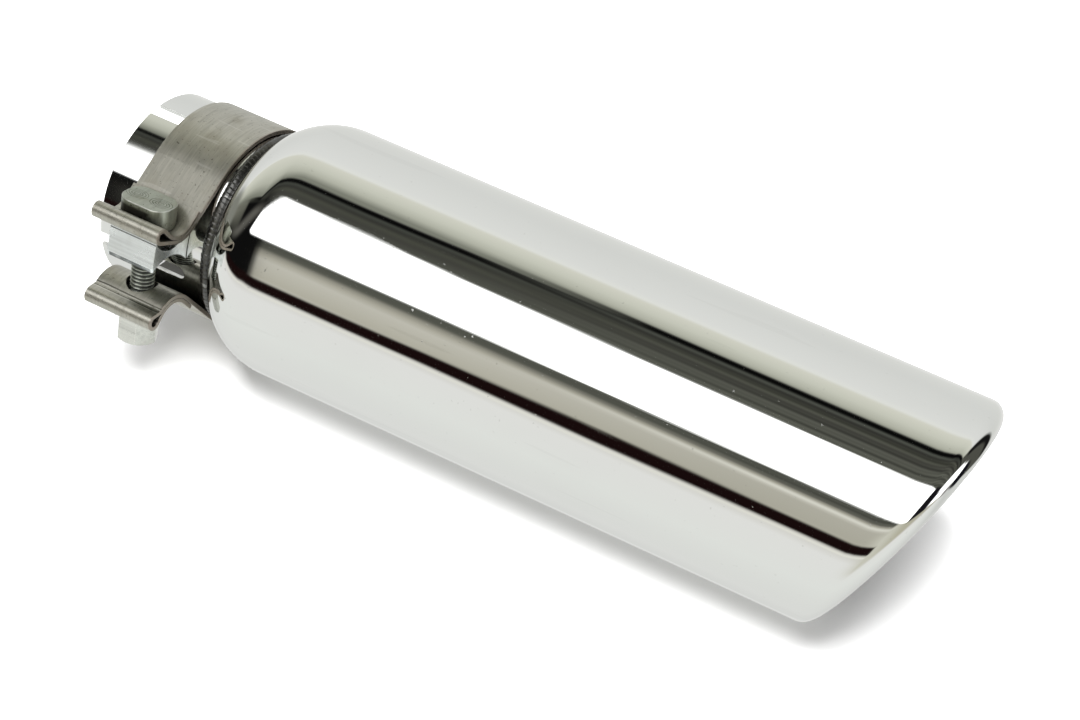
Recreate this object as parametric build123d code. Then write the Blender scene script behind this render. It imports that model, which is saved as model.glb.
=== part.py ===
from build123d import *
import math
import os

# Polished exhaust tip with an angle-cut rolled outlet, a slotted inlet neck and a one-bolt band clamp.
# Millimetres. The tube axis is X. X = 0 is the open end of the neck and +X points to the outlet.
# Z is up and the long side of the angle cut is on top.

# Outer shell. Its length is measured along the axis, where the plane of the angle cut crosses it.
shell_radius = 50.8
shell_wall = 1.5
axis_length = 342.6
cut_angle = 34.0
rim_roll_radius = 5.5
rim_crest = 0.3
lip_relief = 0.8
shoulder_end = 75.3
shoulder_wide_radius = 28.7
shoulder_wide_turn = 33.0
shoulder_tight_radius = 19.4

# Inlet neck and its weld
neck_radius = 38.1
neck_wall = 1.5
neck_depth_in_shell = 10.0
neck_slots = 4
slot_width = 5.7
slot_length = 38.0
slot_roll = 82.6
weld_clearance = 0.05
weld_radius = 2.6
weld_set_back = 1.6

# Band clamp: one folded strip. Its ears point along clamp_roll, an angle from +Y towards +Z.
clamp_roll = 158.1
band_start = 15.0
band_width = 31.8
band_thickness = 1.5
band_clearance = 0.45
bolt_stand_off = 11.6
trough_height = 23.2
trough_radius = 8.5
fold_gap = 0.2
loop_radius = 3.3
loop_offset = 11.5
tail_length = 6.5
ear_hole_radius = 6.2

# Where each ear leaves its trough, as a slope, and how far it bends back at a crease before the loop
upper_ear_slope = 17.0
upper_ear_crease = 0.0
lower_ear_slope = 44.0
lower_ear_crease = 36.0
crease_radius = 1.0

# Bolt with a half-round head
thread_radius = 4.76
thread_pitch = 1.5875
thread_depth = 0.85
thread_top = 0.0
bolt_end = -35.2
seat_clearance = 0.3
head_length = 22.0
head_width = 14.3
head_corner = 6.0
head_rise = 0.9
head_edge = 0.5

# Reaction block between the ears
block_length = 22.0
block_reach = 9.0
block_height = 13.8
block_waist = 2.7
block_upper_hollow = 10.5
block_lower_hollow = 14.0
block_lower_shift = -2.3
block_lift = 4.9
block_tilt = 6.0
block_edge = 0.7
block_bevel_height = 2.2
block_bevel_depth = 0.8
bore_clearance = 0.6

# Half-round saddle and nut under the lower ear
saddle_length = 15.0
saddle_width = 14.3
saddle_corner = 4.0
saddle_drop = 1.0
nut_flats = 14.3
nut_height = 11.5
nut_chamfer = 30.0
nut_bore_clearance = 0.1

# Directions and places worked out from the sizes above
cut_normal = Vector(math.cos(math.radians(cut_angle)), 0, -math.sin(math.radians(cut_angle)))
ear_out = Vector(0, math.cos(math.radians(clamp_roll)), math.sin(math.radians(clamp_roll)))
ear_up = Vector(0, math.sin(math.radians(clamp_roll)), -math.cos(math.radians(clamp_roll)))
band_middle = band_start + band_width / 2
bolt_offset = neck_radius + bolt_stand_off


def polar(centre, radius, angle):
    """Point at an angle, in degrees, on a circle."""
    turn = math.radians(angle)
    return Vector(centre) + Vector(math.cos(turn), math.sin(turn)) * radius


def clamp_plane(x):
    """Cross-section of the clamp at x: first axis out along the ears, second axis up along the bolt."""
    return Plane(origin=(x, 0, 0), x_dir=ear_out, z_dir=(-1, 0, 0))


def bolt_plane(up):
    """Plane square to the bolt at a height above the tube axis: first axis out, normal up."""
    origin = Vector(band_middle, 0, 0) + ear_out * bolt_offset + ear_up * up
    return Plane(origin=origin, x_dir=ear_out, z_dir=ear_up)


# Shoulder arcs, in the plane of x and radius
shoulder_wide_centre = (shoulder_end, shell_radius - shoulder_wide_radius)
shoulder_joint = polar(shoulder_wide_centre, shoulder_wide_radius, 90 + shoulder_wide_turn)
shoulder_tight_centre = polar(shoulder_joint, shoulder_tight_radius, shoulder_wide_turn - 90)
mouth_radius = neck_radius + weld_clearance
mouth_rise = (mouth_radius - shoulder_tight_centre.Y) / (shoulder_tight_radius - shell_wall)
shoulder_turn = math.degrees(math.acos(mouth_rise))
shell_start = polar(shoulder_tight_centre, shoulder_tight_radius, 90 + shoulder_turn).X
far_end = axis_length + 2 * shell_radius
roll_bore = shell_radius - 2 * rim_roll_radius - rim_crest
lip_radius = roll_bore + shell_wall + lip_relief


def shell_form(inset):
    """Solid inside the shell's outer surface, or inside a surface that lies an inset further in."""
    tight = shoulder_tight_radius - inset
    wide = shoulder_wide_radius - inset
    first = polar(shoulder_tight_centre, tight, 90 + shoulder_turn)
    shoulder = CenterArc(tuple(shoulder_tight_centre), tight, 90 + shoulder_turn, shoulder_wide_turn - shoulder_turn)
    shoulder += CenterArc(shoulder_wide_centre, wide, 90 + shoulder_wide_turn, -shoulder_wide_turn)
    rest = Polyline(
        (shoulder_end, shell_radius - inset),
        (far_end, shell_radius - inset),
        (far_end, 0),
        (first.X, 0),
        (first.X, first.Y),
    )
    profile = Plane.XZ * make_face(shoulder + rest)
    form = revolve(profile, Axis.X) - outlet_bore(roll_bore + inset)
    cut = Plane(origin=Vector(axis_length, 0, 0) - cut_normal * inset, z_dir=cut_normal)
    form = split(form, bisect_by=cut, keep=Keep.BOTTOM)
    end = form.faces().sort_by(lambda face: face.center().dot(cut_normal))[-1]
    return fillet(end.edges(), rim_roll_radius - inset)


def outlet_bore(radius):
    """Cylinder on the axis from the shoulder's end out past the angle cut."""
    return extrude(Plane.YZ.offset(shoulder_end) * Circle(radius), amount=far_end - shoulder_end)


def outer_shell():
    """Tube with its shoulder, hollow to the wall, open at the mouth and inside the rolled lip."""
    cavity = shell_form(shell_wall)
    mouth = Plane.YZ.offset(shell_start - shell_wall) * Circle(mouth_radius)
    cavity += extrude(mouth, amount=shell_wall + neck_depth_in_shell)
    return shell_form(0) - cavity - outlet_bore(lip_radius)


def inlet_neck():
    """Tube with slots that let the clamp close it on the pipe."""
    length = shell_start + neck_depth_in_shell
    ring = Plane.YZ * (Circle(neck_radius) - Circle(neck_radius - neck_wall))
    neck = extrude(ring, amount=length)
    for number in range(neck_slots):
        roll = slot_roll + number * 360 / neck_slots
        slot = Rectangle(slot_length * 2, slot_width) + Pos(slot_length, 0) * Circle(slot_width / 2)
        cutter = extrude(Plane.XY * slot, amount=neck_radius * 2)
        neck -= Rot(roll - 90, 0, 0) * cutter
    return neck


def weld_bead():
    """Ring of weld in the corner between the neck and the shell."""
    centre = shell_start - weld_set_back
    bead = Plane.XZ * (Pos(centre, neck_radius) * Circle(weld_radius))
    ring = revolve(bead, Axis.X)
    ring -= extrude(Plane.YZ * Circle(mouth_radius), amount=axis_length)
    return ring - shell_form(-weld_clearance)


def ear_path(side):
    """Middle line of one folded ear, from the tail round the loop and back to the band's circle."""
    layer = band_thickness / 2
    band_line = neck_radius + band_clearance + layer
    outer_line = trough_radius + layer
    inner_line = outer_line + band_thickness + fold_gap
    loop_line = loop_radius - layer
    crease_line = crease_radius + layer
    slope = upper_ear_slope if side > 0 else lower_ear_slope
    crease = upper_ear_crease if side > 0 else lower_ear_crease
    trough = Vector(bolt_offset, trough_height)
    leave = math.degrees(math.atan2(trough.Y, trough.X))
    leave += math.degrees(math.acos((band_line + inner_line) / trough.length))
    on_band = polar((0, 0), band_line, leave)
    trough_in = polar(trough, inner_line, leave + 180)
    flank_in = polar(trough, inner_line, slope - 90)
    bend = polar(flank_in, crease_line, slope - 90)
    flank_out = polar(bend, crease_line, slope - crease + 90) if crease else flank_in
    flat = slope - crease
    along = polar((0, 0), 1, flat)
    across = polar((0, 0), 1, flat + 90)
    run = (bolt_offset + loop_offset - flank_out.X - across.X * loop_line) / along.X
    loop_in = flank_out + along * run
    loop = loop_in + across * loop_line
    apart = loop - trough
    meet = math.degrees(math.atan2(apart.Y, apart.X))
    meet -= math.degrees(math.acos((outer_line + loop_line) / apart.length))
    tail_start = polar(trough, outer_line, leave + 180)
    tail_end = tail_start + (on_band - trough_in).normalized() * tail_length

    path = Line(tuple(tail_end), tuple(tail_start))
    path += CenterArc(tuple(trough), outer_line, leave + 180, 180 + meet - leave)
    path += Line(tuple(polar(trough, outer_line, meet)), tuple(polar(loop, loop_line, meet + 180)))
    path += CenterArc(tuple(loop), loop_line, flat - 90, meet + 270 - flat)
    path += Line(tuple(flank_out), tuple(loop_in))
    if crease:
        path += CenterArc(tuple(bend), crease_line, slope + 90, -crease)
    path += CenterArc(tuple(trough), inner_line, leave + 180, slope + 90 - leave)
    path += Line(tuple(on_band), tuple(trough_in))
    path += CenterArc((0, 0), band_line, leave, 180 - leave)
    return path if side > 0 else mirror(path, Plane.XZ)


def band_clamp():
    """Folded strip with an ear at each end and a round hole for the bolt through both ears."""
    strip = Sketch()
    for side in (1, -1):
        strip += trace(ear_path(side), band_thickness)
    clamp = extrude(clamp_plane(band_start + band_width) * strip, amount=band_width)
    hole = bolt_plane(0) * Circle(ear_hole_radius)
    return clamp - extrude(hole, amount=bolt_offset, both=True)


def half_round(length, width, corner, side, rise):
    """Bar with a round side that seats in an ear's trough, up to a flat that lies past its centre."""
    radius = trough_radius - seat_clearance
    middle = side * trough_height
    flat = middle + side * rise
    section = Pos(bolt_offset, middle) * Circle(radius)
    section -= Pos(bolt_offset, flat + side * radius) * Rectangle(2 * radius, 2 * radius)
    bar = extrude(clamp_plane(band_middle + length / 2) * section, amount=length)
    outline = bolt_plane(middle) * RectangleRounded(width, length, corner)
    return bar & extrude(outline, amount=trough_height, both=True)


def thread_profile():
    """Half section of the shank: a plain length, then ring grooves that stand for the thread."""
    points = [(0, trough_height), (thread_radius, trough_height), (thread_radius, thread_top)]
    grooves = int((thread_top - bolt_end) / thread_pitch)
    for number in range(grooves):
        crest = thread_top - number * thread_pitch
        points.append((thread_radius - thread_depth, crest - thread_pitch / 2))
        points.append((thread_radius, crest - thread_pitch))
    points.append((0, points[-1][1]))
    return make_face(Polyline(*points, close=True))


def bolt():
    """Half-round head that lies in the upper trough, with its shank and thread."""
    head = half_round(head_length, head_width, head_corner, 1, head_rise)
    top = head.faces().sort_by(lambda face: face.center().dot(ear_up))[-1]
    head = fillet(top.edges(), head_edge)
    axis_plane = Plane(origin=bolt_plane(0).origin, x_dir=ear_out, z_dir=(-1, 0, 0))
    shank = revolve(axis_plane * thread_profile(), Axis(axis_plane.origin, ear_up))
    return head + shank


def reaction_block():
    """Block between the ears with a hollow for each trough, a foot on the neck and a flat outer face."""
    centre = clamp_plane(band_middle + block_length / 2).location
    place = Pos(bolt_offset, block_lift) * Rot(0, 0, block_tilt)
    reach_in = bolt_offset - neck_radius + block_height
    half_height = block_height / 2
    bar = make_face(
        Polyline(
            (-reach_in, -half_height),
            (block_reach - block_bevel_depth, -half_height),
            (block_reach, block_bevel_height - half_height),
            (block_reach, half_height),
            (-reach_in, half_height),
            close=True,
        )
    )
    bar -= Pos(0, block_waist / 2 + block_upper_hollow) * Circle(block_upper_hollow)
    bar -= Pos(block_lower_shift, -block_waist / 2 - block_lower_hollow) * Circle(block_lower_hollow)
    section = place * bar - Circle(neck_radius + seat_clearance)
    block = extrude(centre * section, amount=block_length)
    face = block.faces().sort_by(lambda side: side.center().dot(ear_out))[-1]
    block = fillet(face.edges().filter_by(Axis.X, reverse=True), block_edge)
    bore = Plane.XZ.offset(-block_height) * Circle(thread_radius + bore_clearance)
    drill = extrude(bore, amount=block_height * 2)
    return block - clamp_plane(band_middle).location * place * drill


def nut_saddle():
    """Half-round washer that gives the nut a flat seat in the lower trough."""
    saddle = half_round(saddle_length, saddle_width, saddle_corner, -1, saddle_drop)
    bore = bolt_plane(0) * Circle(thread_radius + bore_clearance)
    return saddle - extrude(bore, amount=-bolt_offset)


def hex_nut():
    """Nut with a chamfer at both ends, one flat square to the ears."""
    seat = -(trough_height + saddle_drop)
    plane = bolt_plane(seat)
    prism = extrude(plane * RegularPolygon(nut_flats / 2, 6, major_radius=False, rotation=30), amount=-nut_height)
    corner = nut_flats / math.sqrt(3)
    drop = (corner - nut_flats / 2) * math.tan(math.radians(nut_chamfer))
    half = make_face(
        Polyline(
            (0, 0),
            (nut_flats / 2, 0),
            (corner, -drop),
            (corner, drop - nut_height),
            (nut_flats / 2, -nut_height),
            (0, -nut_height),
            close=True,
        )
    )
    turn_plane = Plane(origin=plane.origin, x_dir=ear_out, z_dir=(-1, 0, 0))
    turned = revolve(turn_plane * half, Axis(plane.origin, ear_up))
    bore = extrude(plane * Circle(thread_radius + nut_bore_clearance), amount=-nut_height)
    return (prism & turned) - bore


pieces = {
    "outer_shell": outer_shell,
    "inlet_neck": inlet_neck,
    "weld_bead": weld_bead,
    "band_clamp": band_clamp,
    "bolt": bolt,
    "reaction_block": reaction_block,
    "nut_saddle": nut_saddle,
    "hex_nut": hex_nut,
}

os.makedirs("parts", exist_ok=True)
for name, make in pieces.items():
    solid = make()
    export_step(solid, f"parts/{name}.step")
    print(name, "volume", round(solid.volume, 1))
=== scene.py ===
import bpy
import math
import random
from mathutils import Matrix, Vector


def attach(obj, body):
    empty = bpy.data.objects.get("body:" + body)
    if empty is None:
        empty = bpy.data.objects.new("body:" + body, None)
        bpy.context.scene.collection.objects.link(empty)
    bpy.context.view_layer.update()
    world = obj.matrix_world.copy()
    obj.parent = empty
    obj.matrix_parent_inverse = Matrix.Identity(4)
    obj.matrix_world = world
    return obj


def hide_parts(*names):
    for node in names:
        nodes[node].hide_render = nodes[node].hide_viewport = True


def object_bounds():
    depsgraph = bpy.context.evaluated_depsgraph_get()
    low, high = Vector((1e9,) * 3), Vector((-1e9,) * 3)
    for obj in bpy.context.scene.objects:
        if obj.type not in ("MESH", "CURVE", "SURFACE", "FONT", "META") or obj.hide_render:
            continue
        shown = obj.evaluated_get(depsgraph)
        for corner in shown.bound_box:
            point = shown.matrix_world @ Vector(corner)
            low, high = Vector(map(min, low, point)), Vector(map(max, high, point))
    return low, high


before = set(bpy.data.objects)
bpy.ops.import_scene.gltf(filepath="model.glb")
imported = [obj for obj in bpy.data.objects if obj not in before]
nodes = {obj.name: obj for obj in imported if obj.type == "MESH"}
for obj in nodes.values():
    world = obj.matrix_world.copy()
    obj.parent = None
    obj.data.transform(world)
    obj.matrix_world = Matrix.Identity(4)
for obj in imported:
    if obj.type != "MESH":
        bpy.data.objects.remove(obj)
cad_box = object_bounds()
scene = bpy.context.scene
random.seed(7)

# Where the clamp sits, as in part.py: degrees about X, then metres
CLAMP_ROLL = 158.1
BAND_MIDDLE = 0.0309
BOLT_OUT = 0.0497
NECK_INSIDE = 0.0366

# Forms of the shell and the weld, as in part.py, in millimetres and degrees
SHELL = {"radius": 50.8, "wall": 1.5, "roll": 5.5, "crest": 0.3, "relief": 0.8, "length": 342.6, "cut": 34.0}
SHOULDER = {"end": 75.3, "wide": 28.7, "wide_turn": 33.0, "tight": 19.4, "mouth": 38.15}
WELD = {"set_back": 1.6, "radius": 2.6, "neck": 38.1}
MILLIMETRE = 0.001


# ---- Nodes ----

class Graph:
    """Small helper that adds nodes to one node tree."""

    def __init__(self, tree):
        self.tree = tree

    def new(self, kind, inputs=None, **settings):
        node = self.tree.nodes.new(kind)
        for key, value in settings.items():
            setattr(node, key, value)
        for key, value in (inputs or {}).items():
            self.put(node.inputs[key], value)
        return node

    def put(self, socket, value):
        if isinstance(value, bpy.types.NodeSocket):
            self.tree.links.new(value, socket)
        else:
            socket.default_value = value

    def math(self, kind, first, second=0.0, third=0.0, clamp=False):
        node = self.new("ShaderNodeMath", operation=kind, use_clamp=clamp)
        for index, value in enumerate((first, second, third)):
            self.put(node.inputs[index], value)
        return node.outputs[0]

    def scaled(self, value, factor, plus, clamp=False):
        return self.math("MULTIPLY_ADD", value, factor, plus, clamp)

    def times(self, *values):
        result = values[0]
        for value in values[1:]:
            result = self.math("MULTIPLY", result, value)
        return result

    def far_from(self, first, second):
        """Distance of a point from the origin of a plane."""
        squares = self.math("ADD", self.math("POWER", first, 2.0), self.math("POWER", second, 2.0))
        return self.math("POWER", squares, 0.5)

    def soft(self, value, start, end):
        """0 at start, 1 at end, smooth between. Start may be above end."""
        flip = start > end
        node = self.new("ShaderNodeMapRange", interpolation_type="SMOOTHSTEP")
        self.put(node.inputs["Value"], value)
        self.put(node.inputs["From Min"], min(start, end))
        self.put(node.inputs["From Max"], max(start, end))
        self.put(node.inputs["To Min"], 1.0 if flip else 0.0)
        self.put(node.inputs["To Max"], 0.0 if flip else 1.0)
        return node.outputs["Result"]

    def near(self, value, middle, half):
        """1 at the middle, 0 from half away."""
        return self.soft(self.math("ABSOLUTE", self.math("SUBTRACT", value, middle)), half, half * 0.4)

    def blend(self, amount, below, above):
        """Two colours, each three numbers or a socket, mixed by an amount."""
        node = self.new("ShaderNodeMix", data_type="RGBA")
        self.put(node.inputs["Factor"], amount)
        for key, value in (("A", below), ("B", above)):
            socket = [item for item in node.inputs if item.name == key and item.type == "RGBA"][0]
            self.put(socket, value if isinstance(value, bpy.types.NodeSocket) else (*value, 1.0))
        return [item for item in node.outputs if item.type == "RGBA"][0]


def empty_graph(owner):
    """Graph of a material or a world, with nothing in it."""
    owner.use_nodes = True
    owner.node_tree.nodes.clear()
    return Graph(owner.node_tree)


# ---- Camera at the photograph's viewing angle ----

def add_camera():
    data = bpy.data.cameras.new("camera")
    camera = bpy.data.objects.new("camera", data)
    scene.collection.objects.link(camera)
    data.lens = 157.158
    data.sensor_width = 36.0
    data.sensor_fit = "HORIZONTAL"
    data.clip_start = 0.01
    data.clip_end = 20.0
    right = Vector((0.81688, 0.56821, -0.09917))
    up = Vector((-0.36370, 0.64086, 0.67605))
    back = Vector((0.44769, -0.51619, 0.73016))
    place = Matrix((right, up, back)).transposed().to_4x4()
    place.translation = (0.97105, -0.91200, 1.28588)
    camera.matrix_world = place
    scene.camera = camera


# ---- Studio ----
# A light table below and behind, a dark room above, and two soft lamps in it, all on one dome that only
# reflections see. turn is the angle of a direction about X, from +Y towards +Z, and lean is its angle
# from +X, both in degrees.

DOME_RADIUS = 25.0
BLACK = (0.006, 0.006, 0.006)
NEAR_BLACK = (0.02, 0.02, 0.02)
LAMP = (2.6, 2.6, 2.6)

# Tones by turn. The light table dims from 46 to its edge at 68, the dark room follows, then a dull wall
# from 145 and the table again from 173.
TABLE_DIMS = 46
TABLE_EDGE = 68.0
TABLE = [
    (0, (0.86, 0.87, 0.85)),
    (38, (0.95, 0.96, 0.94)),
    (43, (0.99, 1.00, 0.96)),
    (46, (0.86, 0.86, 0.76)),
    (54, (0.76, 0.77, 0.67)),
    (61, (0.60, 0.61, 0.52)),
    (67, (0.28, 0.29, 0.24)),
    (138, (0.16, 0.16, 0.13)),
    (145, (0.55, 0.53, 0.45)),
    (149, (0.70, 0.68, 0.60)),
    (164, (0.60, 0.58, 0.49)),
    (173, (0.80, 0.78, 0.72)),
    (184, (1.00, 1.00, 0.98)),
    (216, (0.99, 1.01, 0.98)),
    (263, (0.90, 0.91, 0.89)),
    (284, (0.78, 0.79, 0.77)),
    (317, (0.90, 0.90, 0.88)),
    (335, (0.84, 0.85, 0.82)),
    (360, (0.86, 0.87, 0.85)),
]
# Tones of the dark room by turn, from the table's edge up to the lamp
ROOM = [
    (67.3, (0.10, 0.10, 0.09)),
    (68.9, (0.004, 0.004, 0.004)),
    (71.6, (0.004, 0.004, 0.004)),
    (73.4, (0.075, 0.08, 0.068)),
    (76.7, (0.046, 0.046, 0.04)),
    (79.9, (0.085, 0.088, 0.07)),
    (83.9, (0.070, 0.070, 0.06)),
    (92.2, (0.112, 0.115, 0.096)),
]
# Degrees by which three edges wander with the lean: the room's lower edge and the stand's two edges
WANDER = [
    (112.0, (-3.2, -0.6, 0.7)),
    (113.5, (-2.6, -1.0, 1.6)),
    (115.0, (-3.0, -1.7, 2.4)),
    (116.2, (0.0, -2.1, 1.5)),
    (117.4, (1.4, 0.0, 1.9)),
    (118.7, (3.2, 1.5, 2.7)),
    (120.1, (2.3, 1.7, 2.9)),
    (122.5, (0.0, 0.0, 1.0)),
]


def soft(value, start, end):
    """0 at start, 1 at end, smooth between. Start may be above end."""
    part = max(0.0, min(1.0, (value - start) / (end - start)))
    return part * part * (3 - 2 * part)


def within(value, low, high, edge):
    """1 between low and high, with edges this soft to both sides."""
    return soft(value, low - edge, low + edge) * soft(value, high + edge, high - edge)


def over(below, above, amount):
    return tuple(b + (a - b) * amount for b, a in zip(below, above))


def along(value, stops):
    """What the stops say at a value, blended between the two round it."""
    if value <= stops[0][0]:
        return stops[0][1]
    for (low, first), (high, second) in zip(stops, stops[1:]):
        if value <= high:
            return over(first, second, (value - low) / (high - low))
    return stops[-1][1]


def lamp_amount(turn, lean):
    """1 on the large lamp overhead, whose sides spread towards the outlet."""
    held = min(lean, 117.0) - 117.0
    raised = min(5.0, 1.4 * max(0.0, lean - 117.0))
    sides = soft(turn + 0.20 * held + raised, 95.2, 96.6) * soft(turn + 0.31 * held, 133.4, 132.0)
    ends = soft(lean, 60.5, 63.0) * soft(lean - 0.20 * turn, 103.2, 101.6) * soft(lean + turn, 260.0, 257.0)
    return sides * ends


def studio_colour(turn, lean):
    """Colour of the studio in one direction, painted in layers from the table to the lamps."""
    room_edge, stand_low, stand_high = along(lean, WANDER)
    # On the shoulder's side the edge between table and room swings away
    swing = 2.0 * max(0.0, min(lean, 134.0) - 120.0) * soft(turn, 150, 110)
    edge = TABLE_EDGE + swing
    from_table = turn
    if TABLE_DIMS < turn < edge:
        from_table = TABLE_DIMS + (turn - TABLE_DIMS) * (TABLE_EDGE - TABLE_DIMS) / (edge - TABLE_DIMS)

    level = turn - 0.05 * (lean - 116)
    tilted = level - swing - room_edge
    slid = turn - 0.45 * (lean - 104)
    rail = lean - 0.58 * turn
    round_top = (turn + 180) % 360 - 180
    outlet = soft(lean, 116.5, 113.5)
    beige = over((0.60, 0.58, 0.46), (0.76, 0.75, 0.65), soft(lean, 55, 95))
    waves = 0.26 * math.sin(tilted * 0.8 + 0.1 * lean) + 0.2 * math.sin(tilted * 1.7 + 0.05 * lean + 2.0)
    streak = 1 + waves * soft(lean, 117, 113) * soft(tilted, 70, 74)
    room = tuple(part * streak for part in along(tilted, ROOM))
    in_stand = within(level, 165.3 + stand_low, 173.5 + stand_high, 1.3)
    below_stand = within(level, 175.4 + stand_high, 177.0 + stand_high, 0.8)
    in_room = soft(tilted, 66.5, 68.5) * soft(turn, 142, 138) * soft(lean, 30, 40)

    layers = [
        # Under the lamp: a thin dark line, and towards the outlet a grey strip and a dimmer wall with a
        # bright line along it, then beige that pales away from the tip
        (NEAR_BLACK, within(turn, 132.0, 136.4, 1.0) * (1 - outlet)),
        ((0.13, 0.13, 0.11), within(turn, 134, 142.6, 1.2) * outlet),
        ((0.50, 0.485, 0.41), within(turn, 149, 163, 1.2) * outlet * 0.6),
        ((0.92, 0.91, 0.82), within(turn, 145.0, 147.4, 1.2) * outlet),
        (beige, within(slid, 150, 198, 8) * within(lean, 8, 104, 6)),
        # Dark room above the table
        (room, in_room * soft(lean + 0.55 * turn, 215, 190)),
        # Towards the inlet it falls to black, then to the grey of the far wall, with a faint rail
        (BLACK, soft(turn - swing, 70, 90) * soft(turn, 177, 172) * soft(lean, 121, 127)),
        ((0.22, 0.22, 0.18), soft(turn - swing, 66, 84) * soft(turn, 160, 110) * soft(lean, 122, 176)),
        ((0.27, 0.275, 0.24), soft(lean, 164, 172)),
        (BLACK, within(turn, 100, 174, 5) * within(lean, 120.8, 150, 0.9)),
        ((0.14, 0.135, 0.12), soft(rail, 57, 66) * soft(rail, 77, 67) * within(turn, 106, 146, 8)),
        # Stand at the side of the table, with a bright line below it
        ((1.02, 1.01, 0.93), below_stand * within(lean, 100, 150, 3)),
        ((0.012, 0.005, 0.005), in_stand * within(lean, 98, 150, 3)),
        # Dark front of the room, towards the outlet
        ((0.10, 0.10, 0.085), soft(lean, 64, 58) * within(round_top, -47, 63, 4)),
        ((0.010, 0.010, 0.010), within(round_top, -40, 50, 4) * within(lean, 50, 62, 3)),
        ((0.012, 0.011, 0.014), within(turn, 104, 152, 3) * within(lean, 22, 62, 3)),
        ((0.006, 0.006, 0.010), within(round_top, -60, 62, 8) * within(lean, 8, 29, 3)),
        ((0.36, 0.35, 0.34), soft(lean, 8, 4)),
        # The lamp towards the outlet, in two overlapping parts, and the lamp overhead
        (LAMP, within(turn, 26, 148, 8) * within(lean, 8, 30, 3)),
        (LAMP, within(turn, 46, 112, 6) * within(lean, 24, 36, 3)),
        (LAMP, lamp_amount(turn, lean)),
    ]
    sky = along(from_table, TABLE)
    for colour, amount in layers:
        sky = over(sky, colour, amount)
    return sky


def dome_rows():
    """Leans of the dome's rows, closest where the tube's reflections run into the shoulder's."""
    rows = [k * 2.0 for k in range(1, 30)]
    rows += [60 + k * 2.5 for k in range(23)]
    rows += [117.5 + k * 0.75 for k in range(25)]
    rows += [137 + k * 2.2 for k in range(19)]
    return rows


def add_dome():
    leans = dome_rows()
    wide = 360
    points = []
    colours = []
    faces = []
    for lean in leans:
        for turn in range(wide):
            a, b = math.radians(lean), math.radians(turn)
            flat = DOME_RADIUS * math.sin(a)
            points.append((DOME_RADIUS * math.cos(a), flat * math.cos(b), flat * math.sin(b)))
            colours.extend((*studio_colour(float(turn), lean), 1.0))
    for row in range(len(leans) - 1):
        for k in range(wide):
            other = (k + 1) % wide
            faces.append((row * wide + k, row * wide + other, (row + 1) * wide + other, (row + 1) * wide + k))
    for first, lean in ((0, 0.0), ((len(leans) - 1) * wide, 180.0)):
        points.append((DOME_RADIUS * math.cos(math.radians(lean)), 0.0, 0.0))
        colours.extend((*studio_colour(90.0, lean), 1.0))
        tip = len(points) - 1
        faces += [(tip, first + k, first + (k + 1) % wide) for k in range(wide)]
    mesh = bpy.data.meshes.new("studio")
    mesh.from_pydata(points, [], faces)
    mesh.color_attributes.new("light", "FLOAT_COLOR", "POINT").data.foreach_set("color", colours)
    dome = bpy.data.objects.new("studio", mesh)
    scene.collection.objects.link(dome)
    made = bpy.data.materials.new("studio")
    g = empty_graph(made)
    light = g.new("ShaderNodeAttribute", attribute_name="light").outputs["Color"]
    glow = g.new("ShaderNodeEmission", {"Color": light})
    g.new("ShaderNodeOutputMaterial", {"Surface": glow.outputs[0]})
    made.cycles.emission_sampling = "NONE"
    mesh.materials.append(made)
    dome.visible_camera = False
    dome.visible_diffuse = False
    dome.visible_shadow = False


def add_fill():
    """White world: the camera's background at 1, and a weaker fill for the floor's shadow."""
    fill = 0.42
    world = bpy.data.worlds.new("background")
    scene.world = world
    g = empty_graph(world)
    rays = g.new("ShaderNodeLightPath").outputs
    strength = g.scaled(rays["Is Camera Ray"], 1 - fill, fill)
    white = g.new("ShaderNodeBackground", {"Color": (1, 1, 1, 1), "Strength": strength})
    g.new("ShaderNodeOutputWorld", {"Surface": white.outputs[0]})
    world.cycles_visibility.glossy = False


def add_softbox():
    """Lamp that casts the shadow on the floor. The metal sees the dome's lamps in its place."""
    aim = Vector((0.19, 0.0, -0.05))
    data = bpy.data.lights.new("softbox", "AREA")
    data.shape = "RECTANGLE"
    data.size = 1.0
    data.size_y = 0.9
    data.energy = 88.0
    lamp = bpy.data.objects.new("softbox", data)
    scene.collection.objects.link(lamp)
    lamp.location = (0.55, -0.2, 1.4)
    lamp.rotation_euler = (aim - lamp.location).to_track_quat("-Z", "Y").to_euler()
    lamp.visible_glossy = False


def add_floor():
    """Pale floor under the part, which the camera alone sees."""
    half = 4
    low = cad_box[0][2]
    corners = [(-half, -half, low), (half, -half, low), (half, half, low), (-half, half, low)]
    mesh = bpy.data.meshes.new("floor")
    mesh.from_pydata(corners, [], [(0, 1, 2, 3)])
    floor = bpy.data.objects.new("floor", mesh)
    scene.collection.objects.link(floor)
    made = bpy.data.materials.new("floor")
    g = empty_graph(made)
    matt = g.new("ShaderNodeBsdfDiffuse", {"Color": (0.9, 0.9, 0.9, 1)})
    glow = g.new("ShaderNodeEmission", {"Color": (1, 1, 1, 1), "Strength": 0.08})
    both = g.new("ShaderNodeAddShader", {0: matt.outputs[0], 1: glow.outputs[0]})
    g.new("ShaderNodeOutputMaterial", {"Surface": both.outputs[0]})
    floor.data.materials.append(made)
    floor.visible_diffuse = False
    floor.visible_glossy = False
    floor.visible_transmission = False
    floor.visible_shadow = False


# ---- Surfaces ----

def metal(name):
    made = bpy.data.materials.new(name)
    made.use_nodes = True
    g = Graph(made.node_tree)
    g.shader = made.node_tree.nodes["Principled BSDF"]
    g.shader.inputs["Metallic"].default_value = 1.0
    g.place = g.new("ShaderNodeTexCoord").outputs["Object"]
    return made, g


def multiplied(values, factor):
    return tuple(value * factor for value in values)


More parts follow.
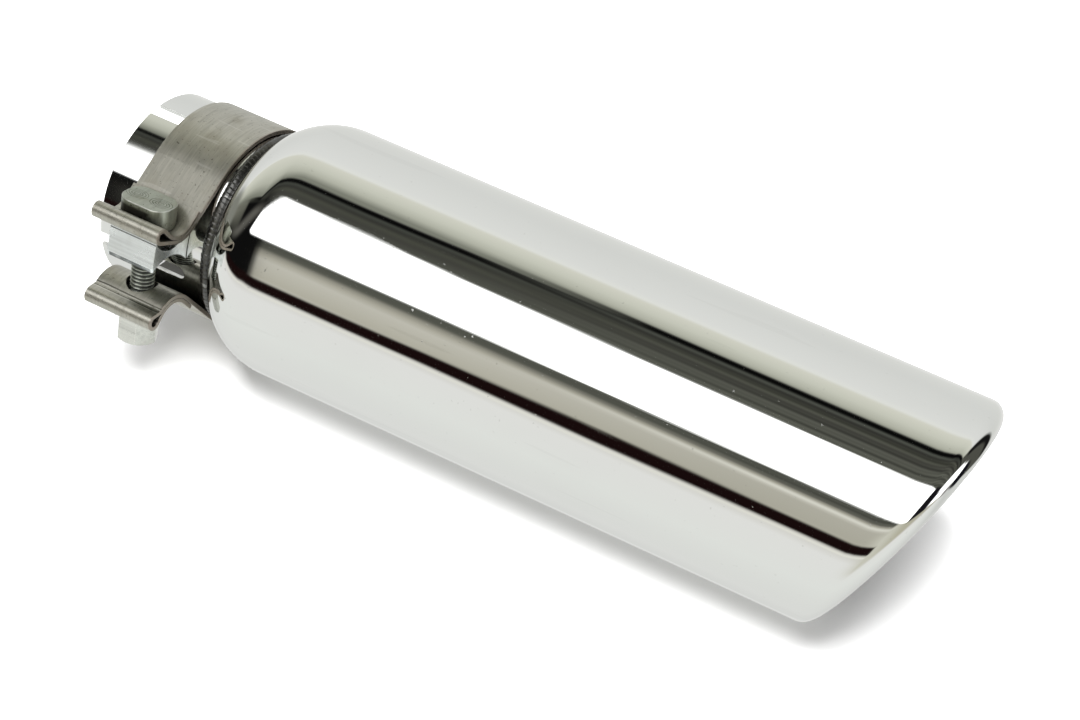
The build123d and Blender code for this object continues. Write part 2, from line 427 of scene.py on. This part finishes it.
def noise(g, scale, stretch=(1, 1, 1), detail=3.0, rough=0.6, turn=(0, 0, 0), shift=(0, 0, 0)):
    """Noise value from 0 to 1. scale is in cycles a metre, stretch multiplies it along each axis."""
    laid = {"Vector": g.place, "Scale": multiplied(stretch, scale), "Rotation": turn, "Location": shift}
    vector = g.new("ShaderNodeMapping", laid).outputs[0]
    grain = {"Vector": vector, "Scale": 1.0, "Detail": detail, "Roughness": rough}
    return g.new("ShaderNodeTexNoise", grain).outputs["Fac"]


def dashes(g, scale, stretch, turn, low, high, shift=(0, 0, 0)):
    """Thin marks: 1 where stretched noise is above high, 0 below low."""
    return g.soft(noise(g, scale, stretch, 1.0, 0.4, turn, shift), low, high)


def bumped(g, height, depth, normal=None):
    node = g.new("ShaderNodeBump", {"Height": height, "Strength": 1.0, "Distance": depth})
    if normal is not None:
        g.put(node.inputs["Normal"], normal)
    return node.outputs["Normal"]


def rounded_edge(g, radius):
    return g.new("ShaderNodeBevel", {"Radius": radius}, samples=4).outputs["Normal"]


def mirror_steel(name, colour, rough, wave, wave_depth, edge_size=0.0):
    """Polished sheet: a slow wave in the surface, hair-fine polish lines, faint smears and a few scratches."""
    made, g = metal(name)
    slow = noise(g, wave, (0.35, 1, 1), 1.0, 0.4)
    hair = noise(g, 900, (0.06, 1, 1), 2.0, 0.5)
    smear = g.soft(noise(g, 22, (0.5, 1, 1), 4.0, 0.6), 0.50, 0.75)
    dust = g.soft(noise(g, 620, (1, 1, 1), 1.0, 0.3), 0.765, 0.79)
    scratch = dashes(g, 260, (0.05, 1.0, 1.0), (0.2, 0.5, 0.9), 0.70, 0.73)

    tint = g.blend(g.times(smear, 0.10), colour, multiplied(colour, 0.86))
    tint = g.blend(g.times(dust, 0.12), tint, (0.40, 0.40, 0.38))
    tint = g.blend(g.times(scratch, 0.07), tint, (0.45, 0.45, 0.43))
    g.put(g.shader.inputs["Base Color"], tint)

    gloss = g.scaled(smear, 0.02, rough)
    gloss = g.scaled(scratch, 0.06, gloss)
    gloss = g.scaled(dust, 0.22, gloss)
    g.put(g.shader.inputs["Roughness"], gloss)

    edge = rounded_edge(g, edge_size) if edge_size else None
    waved = bumped(g, slow, wave_depth, edge)
    g.put(g.shader.inputs["Normal"], bumped(g, hair, 1.5e-7, waved))
    return made, g, tint


def worn_steel(name, colour, rough, brush, edge_colour, speck_and_shade_colour, stain=0.35, brush_depth=2e-6, crevice_shade_strength=0.8,
               along_x=False, spots=0.5, edge_size=0.0003):
    """Dull metal: brush lines, stains, dark specks and dashes, rubbed edges that on the weld are painted
    glints, and painted shade where faces close in.
    """
    made, g = metal(name)
    stretch = (0.05, 1, 1) if along_x else (1, 0.05, 0.05)
    lines = noise(g, brush, stretch, 4.0, 0.65)
    broad = noise(g, brush * 0.16, stretch, 2.0, 0.5)
    cloud = noise(g, 70, (1, 1, 1), 4.0, 0.62)
    patch = g.soft(noise(g, 150, (1, 0.6, 0.6), 3.0, 0.6, (0, 0, 0), (3, 1, 2)), 0.52, 0.72)
    speck = g.soft(noise(g, 1100, (1, 1, 1), 1.0, 0.4), 0.69, 0.74)
    dash = dashes(g, 900, (1.0, 0.10, 0.10), (0, 0, 0), 0.68, 0.74, (5, 2, 9))
    nick = dashes(g, 420, (0.10, 1.0, 0.5), (0.6, 0.3, 0.9), 0.70, 0.73, (1, 7, 4))
    rounded = rounded_edge(g, edge_size)
    flat = g.new("ShaderNodeNewGeometry").outputs["Normal"]
    same = g.new("ShaderNodeVectorMath", {0: rounded, 1: flat}, operation="DOT_PRODUCT").outputs["Value"]
    # Lighter rubbed edges; on the weld they are painted glints
    edge_wear_and_glint = g.soft(g.math("ADD", same, g.times(cloud, 0.05)), 0.985, 0.90)
    # Painted shade: darker where faces close in, as the ambient occlusion finds them
    open_air = g.new("ShaderNodeAmbientOcclusion", {"Distance": 0.006}, samples=4).outputs["AO"]
    crevice_shade = g.times(g.soft(open_air, 0.72, 0.10), crevice_shade_strength)

    brown = (colour[0] * 0.74, colour[1] * 0.69, colour[2] * 0.60)
    tint = g.blend(g.soft(lines, 0.3, 0.7), multiplied(colour, 0.86), multiplied(colour, 1.12))
    tint = g.blend(g.times(g.soft(broad, 0.42, 0.66), 0.30), tint, multiplied(colour, 1.22))
    tint = g.blend(g.times(g.soft(cloud, 0.46, 0.70), stain), tint, brown)
    tint = g.blend(g.times(patch, stain * 0.8), tint, multiplied(colour, 0.62))
    tint = g.blend(g.times(speck, spots), tint, speck_and_shade_colour)
    tint = g.blend(g.times(dash, spots * 0.8), tint, multiplied(colour, 0.5))
    tint = g.blend(g.times(nick, 0.35), tint, edge_colour)
    tint = g.blend(g.times(edge_wear_and_glint, 0.75), tint, edge_colour)
    tint = g.blend(crevice_shade, tint, speck_and_shade_colour)
    g.put(g.shader.inputs["Base Color"], tint)

    gloss = g.scaled(g.soft(cloud, 0.4, 0.7), 0.10, rough)
    gloss = g.scaled(edge_wear_and_glint, -0.10, gloss)
    gloss = g.scaled(crevice_shade, 0.25, gloss, clamp=True)
    g.put(g.shader.inputs["Roughness"], gloss)

    skin = g.scaled(cloud, 2.5, lines)
    skin = g.scaled(speck, -2.0, skin)
    skin = g.scaled(nick, -2.0, skin)
    g.put(g.shader.inputs["Normal"], bumped(g, skin, brush_depth, rounded))
    return made, g, tint


def clamp_axes(g, vector, offset=0.0):
    """Components of a vector along X, out along the clamp's ears less an offset, and up along its bolt."""
    turn = math.radians(CLAMP_ROLL)
    parts = g.new("ShaderNodeSeparateXYZ", {"Vector": vector}).outputs
    out = g.scaled(parts["Y"], math.cos(turn), g.times(parts["Z"], math.sin(turn)))
    up = g.scaled(parts["Z"], -math.cos(turn), g.times(parts["Y"], math.sin(turn)))
    return parts["X"], g.math("SUBTRACT", out, offset), up


def facing_axes(g):
    """How far the surface faces out along the clamp's ears and up along its bolt."""
    return clamp_axes(g, g.new("ShaderNodeTexCoord").outputs["Normal"])[1:]


def painted(made, g, tint):
    g.put(g.shader.inputs["Base Color"], tint)
    return made


def clamp_steel():
    """Strip of the clamp, with its cut edge next to the shoulder and painted shade and highlight lines along
    the creases of the lower ear.
    """
    made, g, tint = worn_steel("clamp_steel", (0.43, 0.42, 0.37), rough=0.36, brush=1500,
                               edge_colour=(0.62, 0.61, 0.57), speck_and_shade_colour=(0.025, 0.022, 0.018))
    x, out, up = clamp_axes(g, g.place)
    facing_up = facing_axes(g)[1]
    last_millimetre = g.soft(x, 0.0460, 0.0466)
    tint = g.blend(g.times(last_millimetre, 0.5), tint, (0.27, 0.21, 0.17))
    wander = g.scaled(noise(g, 90, (1, 1, 1), 2.0), 0.0007, out)
    ear_top = g.times(g.soft(up, -0.009, -0.011), g.soft(facing_up, 0.1, 0.4), g.soft(up, -0.021, -0.019))
    # Creases of the lower ear: each a painted shade line beside a painted highlight line
    crease_shade_colour, crease_highlight_colour = (0.05, 0.05, 0.04), (0.72, 0.71, 0.66)
    for place, colour, strength in ((0.0578, crease_shade_colour, 0.85), (0.0584, crease_highlight_colour, 0.6),
                                    (0.0595, (0.06, 0.06, 0.05), 0.75), (0.0601, crease_highlight_colour, 0.6)):
        tint = g.blend(g.times(g.near(wander, place, 0.00028), ear_top, strength), tint, colour)
    return painted(made, g, tint)


def head_steel():
    """Steel of the bolt: round grind lines on the flat top, painted shade on the near side, a painted highlight
    round the top's edge, and painted shade and highlight on the thread.
    """
    made, g, tint = worn_steel("bolt_steel", (0.36, 0.38, 0.325), rough=0.38, brush=1800,
                               edge_colour=(0.62, 0.64, 0.60), speck_and_shade_colour=(0.015, 0.015, 0.012), stain=0.45,
                               brush_depth=3e-6, crevice_shade_strength=0.95, spots=0.8, edge_size=0.0005)
    x, out, up = clamp_axes(g, g.place, BOLT_OUT)
    across = g.math("SUBTRACT", x, BAND_MIDDLE)
    facing_out, facing_up = facing_axes(g)
    head_flat = g.times(g.soft(facing_up, 0.9, 0.97), g.soft(up, 0.0220, 0.0230))
    # Grind lines run round two centres on the flat
    for centre, strength in ((0.0055, 0.95), (-0.006, 0.8)):
        far = g.far_from(g.math("SUBTRACT", across, centre), g.math("MULTIPLY", out, 1.5))
        wave = g.math("SINE", g.scaled(noise(g, 500, (1, 1, 1), 1.0), 3.0, g.times(far, 5200.0)))
        reach = g.soft(far, 0.0062, 0.0045)
        tint = g.blend(g.times(g.soft(wave, 0.3, 0.9), head_flat, reach, strength), tint, (0.09, 0.10, 0.08))
    # Painted shade on the near side under the top's edge, and a painted highlight all round that edge
    near_side_shade = g.times(g.soft(facing_out, 0.45, 0.85), g.soft(up, 0.0229, 0.0215), g.soft(up, 0.0135, 0.0145))
    ragged = g.soft(g.scaled(noise(g, 260, (1, 1, 1), 2.0), 0.006, across), 0.0095, 0.0065)
    tint = g.blend(g.times(near_side_shade, ragged, 0.93), tint, (0.045, 0.042, 0.035))
    rim_highlight = g.times(g.soft(facing_up, 0.25, 0.5), g.soft(facing_up, 0.96, 0.8), g.soft(up, 0.0225, 0.0232))
    tint = g.blend(g.times(rim_highlight, 0.85), tint, (0.66, 0.67, 0.63))
    # Thread: painted highlight on the crests, painted shade in the valleys
    far = g.far_from(across, out)
    thread = g.soft(up, 0.001, -0.0005)
    tint = g.blend(g.times(thread, g.soft(far, 0.00460, 0.00425), 0.9), tint, (0.05, 0.055, 0.05))
    tint = g.blend(g.times(thread, g.soft(far, 0.00462, 0.00472), 0.8), tint, (0.60, 0.62, 0.58))
    return painted(made, g, tint)


def block_zinc():
    """Zinc plating of the block, with painted shade on the bevel along the lower edge of its outer face and a
    painted shadow line along its upper edge.
    """
    made, g, tint = worn_steel("zinc_block", (0.80, 0.84, 0.84), rough=0.26, brush=420,
                               edge_colour=(0.84, 0.86, 0.85), speck_and_shade_colour=(0.03, 0.035, 0.035), stain=0.10,
                               brush_depth=8e-7, crevice_shade_strength=0.75, along_x=True, spots=0.06, edge_size=0.0004)
    x, _, up = clamp_axes(g, g.place)
    facing_out, facing_up = facing_axes(g)
    # Painted shade on the bevel, which faces down and out
    faces_bevel = g.times(g.soft(facing_up, -0.1, -0.25), g.soft(facing_out, 0.5, 0.8))
    bevel_shade = g.times(faces_bevel, g.soft(x, 0.0205, 0.0212), g.soft(x, 0.0413, 0.0406))
    patchy = g.soft(noise(g, 420, (0.5, 1, 1), 3.0), 0.25, 0.6)
    tint = g.blend(g.times(bevel_shade, g.scaled(patchy, 0.35, 0.50)), tint, (0.035, 0.04, 0.04))
    # Painted shadow line along the upper edge, where the band's curl overhangs it
    upper_edge_shadow = g.times(g.near(up, 0.0112, 0.00035), g.soft(facing_out, 0.3, 0.6))
    tint = g.blend(g.times(upper_edge_shadow, 0.8), tint, (0.02, 0.02, 0.02))
    return painted(made, g, tint)


def nut_zinc():
    return worn_steel("zinc_nut", (0.60, 0.61, 0.57), rough=0.24, brush=260, edge_colour=(0.86, 0.86, 0.83),
                      speck_and_shade_colour=(0.06, 0.06, 0.05), stain=0.15, brush_depth=5e-7, crevice_shade_strength=0.6, along_x=True,
                      spots=0.2, edge_size=0.0005)[0]


def saddle_steel():
    return worn_steel("saddle_steel", (0.42, 0.42, 0.38), rough=0.36, brush=900, edge_colour=(0.6, 0.6, 0.57),
                      speck_and_shade_colour=(0.03, 0.03, 0.02))[0]


def weld_steel():
    # Near black steel: the shade of the corner between neck and shell is painted into the weld's colour, and
    # its edges and nicks are painted light as glints
    return worn_steel("weld_steel", (0.10, 0.10, 0.097), rough=0.22, brush=500, edge_colour=(0.55, 0.55, 0.53),
                      speck_and_shade_colour=(0.008, 0.008, 0.008), stain=0.7, brush_depth=2e-5, crevice_shade_strength=0.95, spots=0.9)[0]


def inner_steel():
    return worn_steel("inner_steel", (0.50, 0.50, 0.47), rough=0.30, brush=1400, edge_colour=(0.6, 0.6, 0.58),
                      speck_and_shade_colour=(0.05, 0.05, 0.04), stain=0.15, crevice_shade_strength=0.0)[0]


def shell_chrome():
    return mirror_steel("polished_steel", (0.72, 0.725, 0.71), rough=0.03, wave=26, wave_depth=1.2e-5)[0]


def tube_chrome():
    """Polished neck, with painted shade on the lower half of its inside and on the cut faces of its slots
    there.
    """
    made, g, tint = mirror_steel("polished_tube", (0.70, 0.705, 0.69), rough=0.05, wave=70, wave_depth=6e-5,
                                 edge_size=0.0004)
    parts = g.new("ShaderNodeSeparateXYZ", {"Vector": g.place}).outputs
    far = g.far_from(parts["Y"], parts["Z"])
    # Painted shade: the lower half of the inside goes near black, and the slots' cut faces there go dark
    inside = g.soft(far, NECK_INSIDE + 0.0008, NECK_INSIDE + 0.0004)
    low = g.soft(g.scaled(noise(g, 60), 0.02, parts["Z"]), 0.016, 0.004)
    tint = g.blend(g.times(inside, low, 0.93), tint, (0.03, 0.028, 0.022))
    cut_face_shade = g.times(g.near(far, NECK_INSIDE + 0.00075, 0.0006), g.soft(parts["X"], 0.001, 0.002), low)
    tint = g.blend(g.times(cut_face_shade, 0.85), tint, (0.06, 0.055, 0.045))
    return painted(made, g, tint)


def dress(node, made):
    for slot in nodes[node].material_slots:
        slot.material = made


# ---- Pieces ----

def piece_of(name, mesh):
    piece = bpy.data.objects.new(name, mesh)
    scene.collection.objects.link(piece)
    return piece


def polar(centre, radius, angle):
    turn = math.radians(angle)
    return centre[0] + radius * math.cos(turn), centre[1] + radius * math.sin(turn)


def shoulder_arcs():
    """Centres of the shoulder's wide and tight arcs in its profile, and the turn at which it meets the neck."""
    wide_centre = (SHOULDER["end"], SHELL["radius"] - SHOULDER["wide"])
    joint = polar(wide_centre, SHOULDER["wide"], 90 + SHOULDER["wide_turn"])
    tight_centre = polar(joint, SHOULDER["tight"], SHOULDER["wide_turn"] - 90)
    reach = SHOULDER["tight"] - SHELL["wall"]
    return wide_centre, tight_centre, math.degrees(math.acos((SHOULDER["mouth"] - tight_centre[1]) / reach))


# Shell skin: the same form as the solid, as one fine grid with exact normals, so that the mirror finish has
# no facets. Where the tube runs into the shoulder and the roll, its normals turn a little early, as they do
# on spun sheet, by these degrees at most. The reaches are in millimetres on the tube, in degrees on the arcs.
SHELL_STEPS = 360
SHELL_ROWS = {"shoulder": (36, 12), "tube": (40, 10), "crest": (40, 16), "lip": (20, 10)}  # outside, inside
LIP_HALVINGS = 26
BACK_TILT = 2.3
BACK_REACH_TUBE = 9.0
BACK_REACH_ARC = 14.0
FRONT_TILT = 6.0
FRONT_REACH_TUBE = 7.0
FRONT_REACH_ROLL = 45.0


def fading(distance, reach):
    """1 at no distance, falling ever more slowly to 0 at reach."""
    return max(0.0, 1 - distance / reach) ** 2


def ring_point(x, distance, angle):
    return Vector((x, distance * math.cos(angle), distance * math.sin(angle)))


def facing(lean, angle):
    """Normal at an angle of the profile, where 90 is straight out."""
    flat = math.radians(lean)
    return Vector((math.cos(flat), math.sin(flat) * math.cos(angle), math.sin(flat) * math.sin(angle)))


def add_shell():
    radius = SHELL["radius"]
    roll = SHELL["roll"]
    wall = SHELL["wall"]
    mouth = SHOULDER["mouth"]
    cut = math.radians(SHELL["cut"])
    slope = math.tan(cut)
    back = SHELL["length"] - roll / math.cos(cut)
    plane = Vector((math.cos(cut), 0, -math.sin(cut)))
    lip = radius - 2 * roll - SHELL["crest"] + wall + SHELL["relief"]
    wide_centre, tight_centre, turn = shoulder_arcs()
    angles = [2 * math.pi * k / SHELL_STEPS for k in range(SHELL_STEPS)]

    def shoulder_rows(inset, sign):
        rows = []
        count = SHELL_ROWS["shoulder"][bool(inset)]
        meet = 90 + SHOULDER["wide_turn"]
        spans = [(tight_centre, SHOULDER["tight"] - inset, 90 + turn, meet)]
        spans.append((wide_centre, SHOULDER["wide"] - inset, meet, 90))
        for centre, size, first, last in spans:
            for k in range(count + 1):
                if rows and k == 0:
                    continue
                lean = first + (last - first) * k / count
                x, distance = polar(centre, size, lean)
                early = 0.0 if inset else fading(lean - 90, BACK_REACH_ARC) * BACK_TILT
                rows.append([(ring_point(x, distance, a), facing(lean + early, a) * sign) for a in angles])
        return rows

    def frame_at(angle, distance):
        """Centre of the roll's section, straight out, and the way forward in that section."""
        out = Vector((0, math.cos(angle), math.sin(angle)))
        centre = Vector((back + slope * distance * math.sin(angle), 0, 0)) + out * distance
        tangent = Vector((slope * math.cos(angle), -math.sin(angle), math.cos(angle))).normalized()
        ahead = tangent.cross(out)
        return centre, out, -ahead if ahead.x < 0 else ahead

    def bent(out, ahead, bend):
        return out * math.cos(bend) + ahead * math.sin(bend)

    def crest_bend(out):
        """Bend at which the roll faces the way the cut does."""
        return math.acos(max(-1.0, min(1.0, out.dot(plane))))

    def tube_rows(inset, sign):
        rows = []
        count = SHELL_ROWS["tube"][bool(inset)]
        for k in range(1, count + 1):
            # Rows lie closest at both ends, where the normals turn
            part = 0.5 - 0.5 * math.cos(math.pi * k / count)
            row = []
            for a in angles:
                centre, out, ahead = frame_at(a, radius - roll)
                x = SHOULDER["end"] + (centre.x - SHOULDER["end"]) * part
                front = back_turn = 0.0
                if not inset:
                    front = math.radians(fading((centre.x - x) * ahead.x, FRONT_REACH_TUBE) * FRONT_TILT)
                    back_turn = math.radians(fading(x - SHOULDER["end"], BACK_REACH_TUBE) * BACK_TILT)
                normal = (bent(out, ahead, front) - Vector((math.sin(back_turn), 0, 0))).normalized()
                row.append((ring_point(x, radius - inset, a), normal * sign))
            rows.append(row)
        return rows

    def crest_rows(inset, sign):
        """From the tube to the crest of the roll."""
        rows = []
        count = SHELL_ROWS["crest"][bool(inset)]
        for k in range(1, count + 1):
            row = []
            for a in angles:
                centre, out, ahead = frame_at(a, radius - roll)
                bend = crest_bend(out) * k / count
                early = 0.0 if inset else fading(math.degrees(bend), FRONT_REACH_ROLL) * FRONT_TILT
                shown = bent(out, ahead, bend + math.radians(early))
                row.append((centre + bent(out, ahead, bend) * (roll - inset), shown * sign))
            rows.append(row)
        return rows

    def lip_bend(centre, out, ahead, size):
        """Bend at which the roll has come in to the lip's own radius."""
        low, high = crest_bend(out), math.pi
        for halving in range(LIP_HALVINGS):
            middle = (low + high) / 2
            spot = centre + bent(out, ahead, middle) * size
            if math.hypot(spot.y, spot.z) > lip:
                low = middle
            else:
                high = middle
        return low

    def lip_rows(inset, sign):
        """From the crest of the roll round to the lip's edge."""
        size = roll - inset
        count = SHELL_ROWS["lip"][bool(inset)]
        sections = []
        for a in angles:
            centre, out, ahead = frame_at(a, radius - roll - SHELL["crest"])
            crest = crest_bend(out)
            sections.append((centre, out, ahead, crest, lip_bend(centre, out, ahead, size) - crest))
        rows = []
        for k in range(count + 1):
            row = []
            for centre, out, ahead, crest, left in sections:
                true = bent(out, ahead, crest + left * k / count)
                row.append((centre + true * size, true * sign))
            rows.append(row)
        return rows

    def side_rows(inset, sign):
        return [row for make in (shoulder_rows, tube_rows, crest_rows, lip_rows) for row in make(inset, sign)]

    outside = side_rows(0.0, 1)
    inside = side_rows(wall, -1)[::-1]
    mouth_x = outside[0][0][0].x
    inner_x = inside[-1][0][0].x
    backwards = Vector((-1, 0, 0))
    lip_edge = [[(p, -Vector((0, p.y, p.z)).normalized()) for p, n in row] for row in (outside[-1], inside[0])]
    mouth_ring = [(ring_point(mouth_x, mouth, a), backwards) for a in angles]
    flat_edge = [mouth_ring, [(p, backwards) for p, n in outside[0]]]
    bore = [[(ring_point(x, mouth, a), -facing(90, a)) for a in angles] for x in (inner_x, mouth_x)]

    vertices = []
    normals = []
    faces = []
    for rows in (outside, lip_edge, inside, flat_edge, bore):
        start = len(vertices)
        for row in rows:
            for point, normal in row:
                vertices.append(tuple(point * MILLIMETRE))
                normals.append(tuple(normal.normalized()))
        for low in range(len(rows) - 1):
            a = start + low * SHELL_STEPS
            for side in range(SHELL_STEPS):
                other = (side + 1) % SHELL_STEPS
                faces.append((a + side, a + other, a + SHELL_STEPS + other, a + SHELL_STEPS + side))
    outside_faces = (len(outside) - 1) * SHELL_STEPS

    mesh = bpy.data.meshes.new("shell_skin")
    mesh.from_pydata(vertices, [], faces)
    for polygon in mesh.polygons:
        polygon.use_smooth = True
        polygon.material_index = 0 if polygon.index < outside_faces else 1
    mesh.update()
    for polygon in mesh.polygons:
        if polygon.normal.dot(Vector(normals[polygon.vertices[0]])) < 0:
            polygon.flip()
    mesh.update()
    mesh.normals_split_custom_set_from_vertices(normals)
    mesh.materials.append(shell_chrome())
    mesh.materials.append(inner_steel())
    piece = piece_of("shell_skin", mesh)
    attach(piece, "root")
    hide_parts("outer_shell")


# Weld: how many ripples and slow swells go round, the mesh's steps round and across, and in millimetres how
# far the skin starts inside the solid bead and how high its ripples, their unevenness and its swells are
RIPPLES = 118
SWELLS = 24
WELD_STEPS = 1100
WELD_ACROSS = 22
WELD_SUNK = 0.42
RIPPLE_HEIGHT = 0.30
RIPPLE_UNEVEN = 0.10
SWELL_HEIGHT = 0.12
RIPPLE_LAG = 0.45


def add_weld():
    """Bead in the corner between neck and shell, laid in overlapping ripples of uneven size."""
    wide_centre, tight_centre, turn = shoulder_arcs()
    start = polar(tight_centre, SHOULDER["tight"], 90 + turn)[0]
    centre = Vector((start - WELD["set_back"], WELD["neck"]))
    uneven = [random.uniform(-1, 1) for k in range(RIPPLES)]
    slow = [random.uniform(-1, 1) for k in range(SWELLS)]
    vertices, faces = [], []
    for k in range(WELD_STEPS):
        angle = 2 * math.pi * k / WELD_STEPS
        at = k * SWELLS / WELD_STEPS
        low, part = int(at), at - int(at)
        drift = slow[low] * (1 - part) + slow[(low + 1) % SWELLS] * part
        for j in range(WELD_ACROSS + 1):
            section = math.radians(-4 + 188 * j / WELD_ACROSS)
            # Each ripple lags at the middle of the bead, is highest at its start and falls away
            place = (k * RIPPLES / WELD_STEPS + RIPPLE_LAG * math.sin(section)) % RIPPLES
            step = place - int(place)
            ridge = (1 - step) ** 0.6 * RIPPLE_HEIGHT + uneven[int(place)] * RIPPLE_UNEVEN
            size = WELD["radius"] - WELD_SUNK + ridge + SWELL_HEIGHT * drift
            x = centre.x + size * math.cos(section)
            # A little flatter than round, and closed just inside the neck's wall
            distance = max(centre.y + size * math.sin(section) * 0.9, WELD["neck"] - 0.25)
            point = (x, distance * math.cos(angle), distance * math.sin(angle))
            vertices.append(tuple(v * MILLIMETRE for v in point))
    wide = WELD_ACROSS + 1
    for k in range(WELD_STEPS):
        other = (k + 1) % WELD_STEPS
        for j in range(wide):
            side = (j + 1) % wide
            faces.append((k * wide + j, other * wide + j, other * wide + side, k * wide + side))
    mesh = bpy.data.meshes.new("weld_ripples")
    mesh.from_pydata(vertices, [], faces)
    for polygon in mesh.polygons:
        polygon.use_smooth = True
    mesh.update()
    mesh.materials.append(weld_steel())
    piece = piece_of("weld_ripples", mesh)
    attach(piece, "root")
    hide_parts("weld_bead")


add_camera()
add_dome()
add_fill()
add_softbox()
add_floor()
add_shell()
dress("inlet_neck", tube_chrome())
dress("band_clamp", clamp_steel())
dress("bolt", head_steel())
dress("reaction_block", block_zinc())
dress("hex_nut", nut_zinc())
dress("nut_saddle", saddle_steel())
add_weld()
scene.view_settings.view_transform = "Standard"
